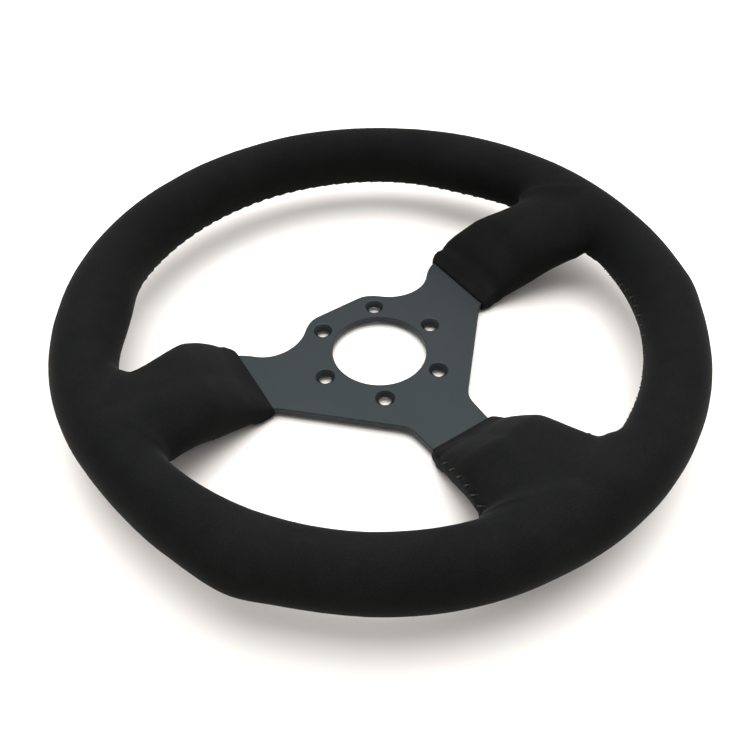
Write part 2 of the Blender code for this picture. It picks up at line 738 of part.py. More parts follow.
def seam_path(shape, first, last, points, normals):
    """A line above the seam, which lies some section steps behind the opening's widest line."""
    rear = opening_grids(*shape)[1]
    shares = np.linspace(0, 1, len(rear))
    steps = np.interp(shares, SEAM_CLIMB, (SEAM_STEPS[first], SEAM_STEPS[last]))
    path = []
    for line, step in list(zip(rear, steps))[1:-1]:
        column = SECTION_STEPS - math.ceil(step)
        share = math.ceil(step) - step
        ends = [line[column], line[min(column + 1, SECTION_STEPS)]]
        point = ends[0] * (1 - share) + ends[1] * share
        away = [normal_near(end, points, normals) for end in ends]
        away = away[0] * (1 - share) + away[1] * share
        path.append(point + away / np.linalg.norm(away) * THREAD_STAND_OFF)
    return path


def build_stitching(points, normals, material):
    for name, (shape, first, last) in openings().items():
        path = seam_path(shape, first, last, points, normals)
        make_object(f"stitching_{name}", thread_mesh(f"stitching_{name}", path), material)


def build():
    clear_scene()
    anodised = make_material("black_anodised_aluminium", (0.055, 0.066, 0.070), 0.42, 0.6)
    suede = make_material("black_suede", (0.014, 0.0145, 0.014), 0.95)
    foam = make_material("grey_foam", (0.10, 0.10, 0.10), 0.9)
    steel = make_material("bare_steel", (0.45, 0.45, 0.44), 0.4, 1.0)
    thread = make_material("black_thread", (0.02, 0.02, 0.021), 0.6)

    rivet_cutters = {side: rivet_hole_cutters(side) for side in SIDES}
    build_plate(anodised, [c for side in SIDES for c in rivet_cutters[side]])
    make_object("rim_hoop", torus("rim_hoop", HOOP_RADIUS), steel)
    for side in SIDES:
        build_inner_frame(side, steel, rivet_cutters[side])
    points, normals, quads = grip_skin()
    build_covers(points, normals, quads, suede)
    build_foam(points, normals, quads, foam)
    build_stitching(points, normals, thread)


build()
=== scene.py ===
"""Looks of a three-spoke steering wheel: a sewn suede grip on a black anodised spoke plate.

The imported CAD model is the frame. The cover, its stitches and the visible plate are built here,
finer than in the CAD. The foam is fitted under them. The hoop, tabs and rivets keep their shape.
Lengths are in metres, and named sizes are written in millimetres times MM.
"""
import math

import bmesh
import bpy
import numpy as np
from mathutils.bvhtree import BVHTree
from mathutils import Matrix, Vector, noise


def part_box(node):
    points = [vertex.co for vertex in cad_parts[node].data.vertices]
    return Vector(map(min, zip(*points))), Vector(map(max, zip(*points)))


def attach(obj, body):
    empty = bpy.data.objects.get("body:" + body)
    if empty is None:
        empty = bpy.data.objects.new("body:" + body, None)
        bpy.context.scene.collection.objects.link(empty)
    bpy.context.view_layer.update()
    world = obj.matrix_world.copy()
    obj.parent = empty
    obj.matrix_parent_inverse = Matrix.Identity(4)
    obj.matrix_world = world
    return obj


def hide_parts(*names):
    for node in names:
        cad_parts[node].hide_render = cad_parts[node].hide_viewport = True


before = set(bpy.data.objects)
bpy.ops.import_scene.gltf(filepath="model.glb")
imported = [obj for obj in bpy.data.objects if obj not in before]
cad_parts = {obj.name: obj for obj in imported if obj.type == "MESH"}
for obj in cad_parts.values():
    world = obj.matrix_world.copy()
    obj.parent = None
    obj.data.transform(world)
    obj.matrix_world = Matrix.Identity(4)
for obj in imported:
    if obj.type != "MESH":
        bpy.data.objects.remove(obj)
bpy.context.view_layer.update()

MM = 0.001
SIDES = ("right", "left", "bottom")

# Driving sizes, read from the frame
HOOP_LOW, HOOP_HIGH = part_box("rim_hoop")
PLATE_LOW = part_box("spoke_plate")[0]
COVER_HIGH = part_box("rim_cover")[1]
HOOP_RADIUS = (HOOP_HIGH.z - HOOP_LOW.z) / 2
RIM_Z = (HOOP_HIGH.z + HOOP_LOW.z) / 2
RIM_RADIUS = HOOP_HIGH.x - HOOP_RADIUS
RIM_WIDTH = 2 * (COVER_HIGH.x - RIM_RADIUS)
RIM_DEPTH = 2 * (COVER_HIGH.z - RIM_Z)
INNER_RADIUS = RIM_RADIUS - RIM_WIDTH / 2
PLATE_THICKNESS = 4 * MM
PLATE_REAR = PLATE_LOW.z
PLATE_TOP = PLATE_REAR + PLATE_THICKNESS

# Where the padded covers end on the plate's arms: upper and lower corner of a side cover's end
COVER_ENDS = {"right": ((70 * MM, 43.5 * MM), (70 * MM, -4.5 * MM)),
              "left": ((65.5 * MM, 42.8 * MM), (68.8 * MM, -5.0 * MM))}
COVER_END_BOTTOM = 71.1 * MM
BOTTOM_COVER_HALF_WIDTH = 18.6 * MM

# Padding over a spoke: place along it (0 at the cover's end, 1 at the rim's centre line), then
# its top and bottom, from the rim's mid plane. A place before the end sets the slope there.
SPOKE_PLACES = (-0.05, 0, 0.05, 0.1, 0.15, 0.2, 0.3, 0.4, 0.6, 0.8, 1)
SPOKE_TOP = tuple(h * MM for h in (-29.6, -27.3, -24.8, -21, -16.5, -12.1, -4.2, 2.6, 7.9, 12.1, 17.5))
SPOKE_BOTTOM = tuple(h * MM for h in (-33.3, -33.4, -33.7, -34.2, -34.6, -34.6, -33.6, -31.8, -24.8,
                                      -20.3, -17.5))
FLAT_POWER = 9                 # extra squareness of the section where the cover lies on the plate
UPPER_FLAT_FADE = (0, 0.12)                        # places between which it fades, above the arm
LOWER_FLAT_FADE = (0.04, 0.20)                     # and behind it
PAD_POWER = 1.1                # extra squareness of the padded spoke
PAD_FADE = 0.75                # place where the section has become an ellipse

# Edges of the padded spokes: the handles of a cubic curve that starts at the cover's end, the rim
# angle that it aims at, and how far from that corner it starts to turn
UPPER_EDGES = {
    "right": {"handles": ((83, 56), (104, 24.6)), "angle": 14, "turn": 7.4 * MM, "crease": 0.9},
    "left": {"handles": ((82.5, 63), (106, 31)), "angle": 14, "turn": 7.4 * MM, "crease": 0.9}}
LOWER_EDGE = {"handles": ((80, -6), (105, -10.4)), "angle": -10, "turn": 6.0 * MM, "crease": 0.2}
BOTTOM_EDGES = {
    "right": {"handles": ((28, -86), (29, -119)), "angle": -73.3, "turn": 6.4 * MM, "crease": 0},
    "left": {"handles": ((24, -85), (29.4, -119)), "angle": -73.3, "turn": 6.4 * MM, "crease": 0}}
JUNCTION_SHARE = 0.56          # of the rim's width, from its centre line to where a spoke begins
SIDE_SPOKE_ANGLE = 0.7
LOWER_SPLIT_ANGLE = -42
GRIP_SWELL = 4.5 * MM
GRIP_SWELL_ANGLE = 33
GRIP_SWELL_SPREAD = 11
# The padding's uneven outer edge: rim angle, how far it stands out, and its spread in degrees
OUTER_SWELLS = ((189, -2.4 * MM, 13), (214, 3.0 * MM, 6), (240, 0.8 * MM, 12), (32, 1.1 * MM, 16),
                (329, 1.3 * MM, 5), (351, -0.6 * MM, 8))

# Mesh steps of the grip
HEM_LENGTH = 12 * MM           # stretch at a cover's end with finer rows
HEM_STEPS = 18
EDGE_STEPS = 46
JUNCTION_STEPS = 9
CORNER_STEPS = 11
ARC_STEP = 1.3 * MM
SEAM_COLUMNS = tuple(d * MM for d in (0, 0.35, 0.7, 1.1, 1.6, 2.1, 2.7, 3.4, 4.4))
UPPER_COLUMNS = 22
LOWER_COLUMNS = 9
SEAM_COLUMN = UPPER_COLUMNS + len(SEAM_COLUMNS) - 1
OUTER_COLUMNS = 12
SECTION_SAMPLES = 90

# Cover, seams and stitches
COVER_THICKNESS = 1.0 * MM
FOAM_DEPTH = 1.3 * MM          # least depth of the foam under the cover's surface
# How far the seam runs behind a spoke's widest line, and behind the rim's between the side spokes
SPOKE_SEAM_DROPS = {"right": 15 * MM, "left": 15 * MM, "bottom": -3.5 * MM}
RIM_SEAM_DROP = 16 * MM
SEAM_DROP_AT_END = 0.4         # share of a spoke's drop at the cover's end
SEAM_DROP_RAMP = 18 * MM       # stretch from there over which it grows to the whole drop
RIM_SEAM_CLIMB = (-32, -8)     # rim angles between which it comes up to the widest line
PATCH_GAP = 0.15 * MM
HEM_CLOSING = (0.5 * MM, 3 * MM)                   # stretch over which a cover closes on the plate
PLATE_CLEARANCE = 0.06 * MM
SEAM_DEPTH = 0.12 * MM
SEAM_SPREAD = 0.9 * MM
# Beside the seam, as distance from it, spread and height or depth
SEAM_WELT = (2.3 * MM, 1.5 * MM, 0.08 * MM)
SEAM_PUCKER = (1.2 * MM, 1.8 * MM, 0.12 * MM)
NEEDLE_HOLE = (0.6 * MM, 0.12, 0.3 * MM)           # spread across, spread in pitches, depth
HEM_ROUNDING = (1.2 * MM, 0.25 * MM)               # length, depth
CREASE_SPREAD = 0.11           # in shares of the way round a corner
CREASE_FADE = (3 * MM, 12 * MM)                    # distances from the seam between which it fades
# Unevenness of the wrap: size of its features and their height
WRAP_WAVES = ((34 * MM, 0.30 * MM), (15 * MM, 0.12 * MM))
SKIN_GRAIN = (4 * MM, 0.05 * MM)
CALM_END = (4 * MM, 16 * MM)   # distances from a cover's end between which the wrap becomes uneven
CALM_SHARE = 0.25              # share of the unevenness left at the end
HEM_GROOVE = (10.5 * MM, 3.0 * MM)                 # distance from the end, spread
HEM_GROOVE_DEPTHS = {"right": 0.9 * MM, "left": 0.1 * MM, "bottom": 0.1 * MM}
CREASE_DEPTH = 1.0 * MM
STITCH_PITCH = 7.3 * MM
STITCH_REACH = 2.3 * MM
STITCH_SLANT = 4.2 * MM
STITCH_LIFT = 0.10 * MM
STITCH_DIVE = 0.9 * MM
STITCH_MARGIN = 3.5 * MM
THREAD_RADIUS = 0.42 * MM
THREAD_RINGS = 15
THREAD_SIDES = 10

# Plate
BORE_RADIUS = 25.75 * MM
BORE_STEPS = 160
BOLT_CIRCLE = 70 * MM
BOLT_COUNT = 6
BOLT_HOLE = 6.9 * MM
COUNTERSINK = 10.7 * MM
HOLE_CHAMFER = 0.3 * MM
COUNTERSINK_LIP = 0.15 * MM
HOLE_STEPS = 72
EDGE_CHAMFER = 0.4 * MM
ARM_START = (72.2 * MM, -3.2 * MM, 42.3 * MM)
BOTTOM_ARM_START = (73 * MM, 17.6 * MM)
ARM_END = 137 * MM
ARM_END_WIDTH = 26 * MM
ARM_STEPS = 24
ARM_NARROWS = (0, 0.09)
ARM_RISES = (0.06, 0.7)
TAB_THICKNESS = 3 * MM
GAP = 0.3 * MM
ARM_END_TOP = RIM_Z - HOOP_RADIUS - 2 * GAP - TAB_THICKNESS
RIVET_DISTANCE = 128 * MM
RIVET_SPACING = 15 * MM
RIVET_SHANK = 5 * MM
RIVET_STEPS = 24
FAR = 1.0


# ---------------------------------------------------------------- curves

def polar(radius, degrees):
    angle = math.radians(degrees)
    return np.array([radius * math.cos(angle), radius * math.sin(angle)])


def cubic(start, handle_a, handle_b, end, steps):
    u = np.linspace(0, 1, steps + 1)[:, None]
    v = 1 - u
    points = v ** 3 * np.array(start) + 3 * v * v * u * np.array(handle_a)
    return points + 3 * v * u * u * np.array(handle_b) + u ** 3 * np.array(end)


def lengths_along(points):
    steps = np.linalg.norm(np.diff(points, axis=0), axis=1)
    return np.concatenate([[0], np.cumsum(steps)])


def points_at(points, distances):
    along = lengths_along(points)
    return np.stack([np.interp(distances, along, points[:, k]) for k in (0, 1)], axis=1)


def smooth_interpolation(x, knots, values):
    """Monotone cubic through the knots, so a profile never overshoots."""
    knots = np.array(knots, float)
    values = np.array(values, float)
    widths = np.diff(knots)
    slopes = np.diff(values) / widths
    tangents = np.zeros(len(knots))
    for i in range(1, len(knots) - 1):
        if slopes[i - 1] * slopes[i] > 0:
            a = 2 * widths[i] + widths[i - 1]
            b = widths[i] + 2 * widths[i - 1]
            tangents[i] = (a + b) / (a / slopes[i - 1] + b / slopes[i])
    i = np.clip(np.searchsorted(knots, x) - 1, 0, len(knots) - 2)
    t = (x - knots[i]) / widths[i]
    ends = (1 + 2 * t) * (1 - t) ** 2 * values[i] + t * t * (3 - 2 * t) * values[i + 1]
    turns = t * (1 - t) ** 2 * tangents[i] + t * t * (t - 1) * tangents[i + 1]
    return ends + turns * widths[i]


def smooth_step(x, low, high):
    t = np.clip((x - low) / (high - low), 0, 1)
    return t * t * (3 - 2 * t)


def bump(x, centre, spread):
    return np.exp(-((x - centre) / spread) ** 2)


# ---------------------------------------------------------------- the soft grip's surface

def spoke_line(side):
    """Start and end of a spoke's centre line and its angle, drawn for the right-hand half."""
    if side == "bottom":
        return np.array([0, -COVER_END_BOTTOM]), polar(RIM_RADIUS, -90), -90
    return np.mean(COVER_ENDS[side], axis=0), polar(RIM_RADIUS, SIDE_SPOKE_ANGLE), SIDE_SPOKE_ANGLE


def inner_edge_radius(degrees):
    swell = np.exp(-((degrees - GRIP_SWELL_ANGLE) / GRIP_SWELL_SPREAD) ** 2)
    return INNER_RADIUS - GRIP_SWELL * swell


def edge_places(edge_length):
    """Places along a spoke's edge: fine over the hem, then even."""
    hem = HEM_LENGTH / edge_length
    return np.concatenate([np.linspace(0, hem, HEM_STEPS + 1), np.linspace(hem, 1, EDGE_STEPS + 1)[1:]])


def half_opening(side, edge, start, rim_stop):
    """Rows from a cover's end to an angle on the rim, as a dict of arrays."""
    line_start, junction, junction_angle = spoke_line(side)
    length = np.linalg.norm(junction - line_start)
    handles = [np.array(h) * MM for h in edge["handles"]]
    corner = polar(INNER_RADIUS, edge["angle"])
    whole = cubic(start, *handles, corner, 400)
    edge_length = lengths_along(whole)[-1] - edge["turn"]
    shares = edge_places(length)
    edge_points = points_at(whole, edge_length * shares)

    turn = math.degrees(edge["turn"] / INNER_RADIUS) * np.sign(rim_stop - edge["angle"])
    arc_start = edge["angle"] + turn
    arc_steps = round(INNER_RADIUS * math.radians(abs(rim_stop - arc_start)) / ARC_STEP)
    arc_angles = np.linspace(arc_start, rim_stop, arc_steps + 1)
    arc = np.stack([polar(inner_edge_radius(a), a) for a in arc_angles])
    u = np.linspace(0, 1, JUNCTION_STEPS + CORNER_STEPS + 1)
    v = u[:, None]
    corner_points = (1 - v) ** 2 * edge_points[-1] + 2 * v * (1 - v) * corner + v * v * arc[0]

    last = 1 - RIM_WIDTH * JUNCTION_SHARE / length
    places = np.concatenate([last * shares, np.linspace(last, 1, JUNCTION_STEPS + 1)[1:]])
    angles = np.concatenate([np.linspace(junction_angle, arc_start, CORNER_STEPS + 1)[1:], arc_angles[1:]])
    ridge = np.concatenate([line_start + places[:, None] * (junction - line_start),
                            np.stack([polar(RIM_RADIUS, a) for a in angles])])
    places = np.concatenate([places, np.ones(len(angles))])
    on_spoke = places < 1
    hem = np.where(on_spoke, places * length, FAR)
    side_drop = SPOKE_SEAM_DROPS[side]
    rim_drops = RIM_SEAM_DROP * smooth_step(arc_angles, *RIM_SEAM_CLIMB)
    ramp = smooth_step(hem[:len(shares)], 0, SEAM_DROP_RAMP)
    edge_drops = side_drop * (SEAM_DROP_AT_END + (1 - SEAM_DROP_AT_END) * ramp)
    corner_drops = side_drop + (rim_drops[0] - side_drop) * u
    return {"boundary": np.concatenate([edge_points, corner_points[1:], arc[1:]]),
            "ridge": ridge,
            "place": places,
            "drop": np.concatenate([edge_drops, corner_drops[1:], rim_drops[1:]]),
            "hem": hem,
            "cross": np.where(on_spoke, (places - last) * length, FAR),
            "corner": np.concatenate([np.full(len(shares), -1.0), u[1:], np.full(arc_steps, 2.0)]),
            "groove": np.full(len(places), HEM_GROOVE_DEPTHS[side]),
            "sharpness": np.full(len(places), edge["crease"])}


def mirrored(half):
    return {**half, "boundary": half["boundary"] * [-1, 1], "ridge": half["ridge"] * [-1, 1]}


def join_halves(first, second):
    rows = {key: np.concatenate([first[key], second[key][::-1][1:]]) for key in first}
    rows["along"] = lengths_along(rows["boundary"])
    return rows


def openings():
    """The three openings' rows, with the spokes at their two ends."""
    halves = {}
    for side, (upper_corner, lower_corner) in COVER_ENDS.items():
        halves["upper", side] = half_opening(side, UPPER_EDGES[side], upper_corner, 90)
        halves["lower", side] = half_opening(side, LOWER_EDGE, lower_corner, LOWER_SPLIT_ANGLE)
    foot_start = (BOTTOM_COVER_HALF_WIDTH, -COVER_END_BOTTOM)
    feet = {side: half_opening("bottom", edge, foot_start, LOWER_SPLIT_ANGLE)
            for side, edge in BOTTOM_EDGES.items()}
    upper_left = mirrored(halves["upper", "left"])
    lower_left = mirrored(halves["lower", "left"])
    return {"upper": (join_halves(halves["upper", "right"], upper_left), "right", "left"),
            "lower_right": (join_halves(halves["lower", "right"], feet["right"]), "right", "bottom"),
            "lower_left": (join_halves(lower_left, mirrored(feet["left"])), "left", "bottom")}


def quarter_section(power, width, depth):
    """Quarter of a superellipse, from its crown (0, depth) to its widest point (width, 0)."""
    turn = 0.5 ** (1 / power)
    flat = np.linspace(0, turn, SECTION_SAMPLES)
    side = np.linspace(turn, 0, SECTION_SAMPLES)[1:]
    across = np.concatenate([flat, (1 - side ** power) ** (1 / power)])
    rise = np.concatenate([(1 - flat ** power) ** (1 / power), side])
    return np.column_stack([across * width, rise * depth])


def opening_grid(rows):
    """Points [row][column from the upper ridge over the seam to the lower ridge], and how far
    each point lies from the seam: negative above it, positive behind it."""
    top = smooth_interpolation(rows["place"], SPOKE_PLACES, SPOKE_TOP) + RIM_Z
    bottom = smooth_interpolation(rows["place"], SPOKE_PLACES, SPOKE_BOTTOM) + RIM_Z
    middle = (top + bottom) / 2
    pad_powers = 2 + PAD_POWER * np.clip(1 - rows["place"] / PAD_FADE, 0, 1)
    upper_powers, lower_powers = [pad_powers + FLAT_POWER * (1 - smooth_step(rows["place"], *fade))
                                  for fade in (UPPER_FLAT_FADE, LOWER_FLAT_FADE)]
    steps = rows["boundary"] - rows["ridge"]
    widths = np.linalg.norm(steps, axis=1)
    near = np.array(SEAM_COLUMNS)
    points, distances = [], []
    for i, width in enumerate(widths):
        upper = quarter_section(upper_powers[i], width, top[i] - middle[i])
        lower = quarter_section(lower_powers[i], width, bottom[i] - middle[i])
        curve = np.concatenate([upper, lower[::-1][1:]])
        along = lengths_along(curve)
        seam = along[len(upper) - 1] + rows["drop"][i]
        before = np.linspace(0, seam - near[-1], UPPER_COLUMNS + 1)[:-1]
        after = np.linspace(seam + near[-1], along[-1], LOWER_COLUMNS + 1)[1:]
        wanted = np.concatenate([before, seam - near[::-1], seam + near[1:], after])
        across, height = points_at(curve, wanted).T
        plan = rows["ridge"][i] + steps[i] * (across / width)[:, None]
        points.append(np.column_stack([plan, middle[i] + height]))
        distances.append(wanted - seam)
    return np.array(points), np.array(distances)


def outer_swell(angles):
    swell = np.zeros(len(angles))
    for centre, height, spread in OUTER_SWELLS:
        off = (np.degrees(angles) - centre + 180) % 360 - 180
        swell += height * bump(off, 0, spread)
    return swell


def outer_grids(shapes):
    """The rim's outer half, on the same angles as the openings' ridges."""
    angles = set()
    for rows, _, _ in shapes.values():
        for x, y in rows["ridge"][rows["place"] >= 1]:
            angles.add(round(math.degrees(math.atan2(y, x)) % 360, 6))
    angles = np.radians(sorted(angles))
    angles = np.append(angles, angles[0] + 2 * math.pi)
    sweep = np.linspace(0, math.pi / 2, OUTER_COLUMNS + 1)
    width = RIM_WIDTH / 2 + outer_swell(angles)
    radius = RIM_RADIUS + width[:, None] * np.sin(sweep)
    rise = RIM_DEPTH / 2 * np.cos(sweep)
    rise[-1] = 0
    x = np.cos(angles)[:, None] * radius
    y = np.sin(angles)[:, None] * radius
    return [np.stack([x, y, RIM_Z + sign * rise + 0 * x], axis=2) for sign in (1, -1)]


class Skin:
    """Grids collected into one welded surface, with marks on each point."""

    MARKS = ("seam", "along", "pitch", "hem", "groove", "cross", "corner", "sharpness", "sign", "turn")

    def __init__(self):
        self.points = []
        self.marks = []
        self.quads = []
        self.tags = []
        self.count = 0

    def add(self, grid, faces_up, marks, tags):
        """Add a grid's quads facing out, tagged with the rear cover they belong to (0: none)."""
        rows, columns = grid.shape[:2]
        index = np.arange(rows * columns).reshape(rows, columns) + self.count
        quads = np.stack([index[:-1, :-1], index[1:, :-1], index[1:, 1:], index[:-1, 1:]], axis=2)
        a = grid[1:, 1:] - grid[:-1, :-1]
        b = grid[:-1, 1:] - grid[1:, :-1]
        if (np.cross(a, b)[:, :columns // 3, 2].sum() > 0) != faces_up:
            quads = quads[..., ::-1]
        self.points.append(grid.reshape(-1, 3))
        self.marks.append(np.stack([np.broadcast_to(marks[key], (rows, columns)).reshape(-1)
                                    for key in self.MARKS], axis=1))
        self.quads.append(quads.reshape(-1, 4))
        self.tags.append(np.broadcast_to(tags, quads.shape[:2]).reshape(-1))
        self.count += rows * columns

    def weld(self):
        points = np.concatenate(self.points)
        marks = np.concatenate(self.marks)
        keys = np.floor(points / (0.001 * MM) + 0.137).astype(np.int64)
        _, first, inverse = np.unique(keys, axis=0, return_index=True, return_inverse=True)
        inverse = inverse.reshape(-1)
        self.points = points[first]
        self.marks = {key: marks[first, k] for k, key in enumerate(self.MARKS)}
        self.quads = inverse[np.concatenate(self.quads)]
        self.tags = np.concatenate(self.tags)
        self.normals = vertex_normals(self.points, self.quads)


def vertex_normals(points, quads):
    faces = np.cross(points[quads[:, 2]] - points[quads[:, 0]], points[quads[:, 3]] - points[quads[:, 1]])
    normals = np.zeros_like(points)
    for k in range(4):
        np.add.at(normals, quads[:, k], faces)
    return normals / np.linalg.norm(normals, axis=1)[:, None]


def even_pitch(total):
    return total / round(total / STITCH_PITCH)


def row_count_of_patch():
    return HEM_STEPS + EDGE_STEPS


def grip_skin(shapes, grids):
    skin = Skin()
    patch = row_count_of_patch()
    for name, (rows, first, last) in shapes.items():
        grid, distance = grids[name]
        behind = distance > 0
        marks = {key: rows[key][:, None] for key in ("along", "hem", "groove", "corner", "sharpness")}
        marks["cross"] = np.where(behind, rows["cross"][:, None], FAR)
        marks["seam"] = np.abs(distance)
        marks["pitch"] = even_pitch(rows["along"][-1])
        marks["sign"] = np.where(behind, -1.0, 1.0)
        marks["turn"] = 1.0 if name == "lower_right" else -1.0
        tags = np.zeros((grid.shape[0] - 1, grid.shape[1] - 1), int)
        tags[:patch, SEAM_COLUMN:] = SIDES.index(first) + 1
        tags[-patch:, SEAM_COLUMN:] = SIDES.index(last) + 1
        skin.add(grid, True, marks, tags)
    far = {key: FAR for key in Skin.MARKS}
    for grid, faces_up in zip(outer_grids(shapes), (True, False)):
        skin.add(grid, faces_up, far, 0)
    skin.weld()
    return skin


def relief(skin):
    """How far the suede stands out of the plain surface at each point."""
    m = skin.marks
    near = np.clip(m["seam"] / STITCH_REACH, 0, 1)
    shifted = m["along"] - m["sign"] * m["turn"] * STITCH_SLANT / 2 * near
    phase = 2 * math.pi * shifted / m["pitch"]
    to_stitch = (shifted / m["pitch"] + 0.5) % 1 - 0.5
    height = -SEAM_DEPTH * bump(m["seam"], 0, SEAM_SPREAD)
    distance, spread, rise = SEAM_WELT
    height += rise * bump(m["seam"], distance, spread)
    distance, spread, depth = SEAM_PUCKER
    height -= depth * np.cos(phase) * bump(m["seam"], distance, spread)
    across, along, depth = NEEDLE_HOLE
    height -= depth * bump(m["seam"], STITCH_REACH, across) * bump(to_stitch, 0, along)
    height -= SEAM_DEPTH * bump(m["cross"], 0, SEAM_SPREAD)
    height -= m["groove"] * bump(m["hem"], *HEM_GROOVE) * (m["sign"] > 0)
    length, depth = HEM_ROUNDING
    height -= depth * (1 - smooth_step(m["hem"], 0, length))
    crease = bump(m["corner"], 0.5, CREASE_SPREAD) * (1 - smooth_step(m["seam"], *CREASE_FADE))
    height -= CREASE_DEPTH * crease * m["sharpness"]
    evenness = CALM_SHARE + (1 - CALM_SHARE) * smooth_step(m["hem"], *CALM_END)
    (wide, wide_height), (narrow, narrow_height) = WRAP_WAVES
    grain, grain_height = SKIN_GRAIN
    for k, point in enumerate(skin.points):
        p = Vector(point)
        wrap = noise.noise(p / wide) * wide_height
        wrap += noise.noise(p / narrow + Vector((7, 3, 1))) * narrow_height
        height[k] += wrap * evenness[k] + noise.noise(p / grain + Vector((1, 9, 4))) * grain_height
    return height


def edge_walls(quads):
    """Directed border edges of a patch of quads."""
    directed = set()
    for a, b, c, d in quads.tolist():
        directed.update(((a, b), (b, c), (c, d), (d, a)))
    return [(a, b) for a, b in directed if (b, a) not in directed]


def sheet_mesh(name, outer, inner, quads):
    """Closed sheet: quads on the outer points, quads on the inner points, and walls between."""
    used, index = np.unique(quads, return_inverse=True)
    index = index.reshape(quads.shape)
    count = len(used)
    walls = np.array(sorted(edge_walls(index)))
    sides = np.stack([walls[:, 1], walls[:, 0], walls[:, 0] + count, walls[:, 1] + count], axis=1)
    faces = np.concatenate([index, index[:, ::-1] + count, sides])
    mesh = bpy.data.meshes.new(name)
    mesh.from_pydata(np.concatenate([outer[used], inner[used]]).tolist(), [], faces.tolist())
    mesh.shade_smooth()
    mesh.set_sharp_from_angle(angle=math.radians(50))
    return mesh


def plate_clamp(points, marks, inner):
    """At a cover's end the inner skin closes on the plate's section."""
    closing = 1 - smooth_step(marks["hem"], *HEM_CLOSING)
    low, high = plate_section_box(points)
    target = np.clip(points, low, high)
    return inner + (target - inner) * closing[:, None]


def plate_section_box(points):
    """Lowest and highest corner of the arm's section near each point."""
    margin = PLATE_CLEARANCE
    low = points.copy()
    high = points.copy()
    low[:, 2] = PLATE_REAR - margin
    high[:, 2] = PLATE_TOP + margin
    on_foot = np.abs(points[:, 0]) < BOTTOM_COVER_HALF_WIDTH * 1.3
    half = BOTTOM_ARM_START[1] + margin
    low[on_foot, 0] = -half
    high[on_foot, 0] = half
    low[~on_foot, 1] = ARM_START[1] - margin
    high[~on_foot, 1] = ARM_START[2] - 0.6 * MM + margin
    return low, high


def make_object(name, mesh, *materials):
    item = bpy.data.objects.new(name, mesh)
    bpy.context.scene.collection.objects.link(item)
    for material in materials:
        mesh.materials.append(material)
    return item


def as_piece(item, slot, *nodes):
    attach(item, "root")
    if nodes:
        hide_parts(*nodes)


def build_covers(skin, material):
    outer = skin.points + skin.normals * relief(skin)[:, None]
    inner = skin.points - skin.normals * COVER_THICKNESS
    inner = plate_clamp(skin.points, skin.marks, inner)
    front = skin.quads[skin.tags == 0]
    item = make_object("rim_suede_cover", sheet_mesh("rim_suede_cover", outer, inner, front), material)
    as_piece(item, "suede", "rim_cover")
    for tag, side in enumerate(SIDES, 1):
        patch = skin.quads[skin.tags == tag]
        centres = skin.points[patch].mean(axis=1)
        pull = np.zeros_like(skin.points)
        for k in range(4):
            np.add.at(pull, patch[:, k], centres - skin.points[patch[:, k]])
        sewn = sorted({k for edge in edge_walls(patch) for k in edge
                       if skin.marks["hem"][k] > 0.1 * MM or skin.marks["seam"][k] < 0.1 * MM})
        pull = pull[sewn] / np.linalg.norm(pull[sewn], axis=1)[:, None] * PATCH_GAP
        patch_outer = outer.copy()
        patch_inner = inner.copy()
        patch_outer[sewn] += pull
        patch_inner[sewn] += pull
        name = f"spoke_back_suede_{side}"
        item = make_object(name, sheet_mesh(name, patch_outer, patch_inner, patch), material)
        as_piece(item, "suede", f"spoke_back_cover_{side}")


# ---------------------------------------------------------------- foam

def build_foam(skin, material):
    """The foam's CAD shape, kept under the finished cover where that is slimmer."""
    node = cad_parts["foam_padding"]
    mesh = node.data.copy()
    mesh.transform(node.matrix_world)
    surface = BVHTree.FromPolygons(skin.points.tolist(), skin.quads.tolist())
    for vertex in mesh.vertices:
        place, normal, _, _ = surface.find_nearest(vertex.co)
        if (place - vertex.co).dot(normal) < FOAM_DEPTH:
            vertex.co = place - normal * FOAM_DEPTH
    mesh.materials.clear()
    as_piece(make_object("foam_core", mesh, material), "foam", "foam_padding")


# ---------------------------------------------------------------- stitching

def bilinear(table, row, column):
    i = np.clip(np.floor(row).astype(int), 0, table.shape[0] - 2)
    j = np.clip(np.floor(column).astype(int), 0, table.shape[1] - 2)
    u = (row - i)[..., None]
    v = (column - j)[..., None]
    low = table[i, j] * (1 - v) + table[i, j + 1] * v
    high = table[i + 1, j] * (1 - v) + table[i + 1, j + 1] * v
    return low * (1 - u) + high * u


def strip_normals(strip):
    normals = np.cross(np.gradient(strip, axis=0), np.gradient(strip, axis=1))
    return normals / np.linalg.norm(normals, axis=2)[..., None]


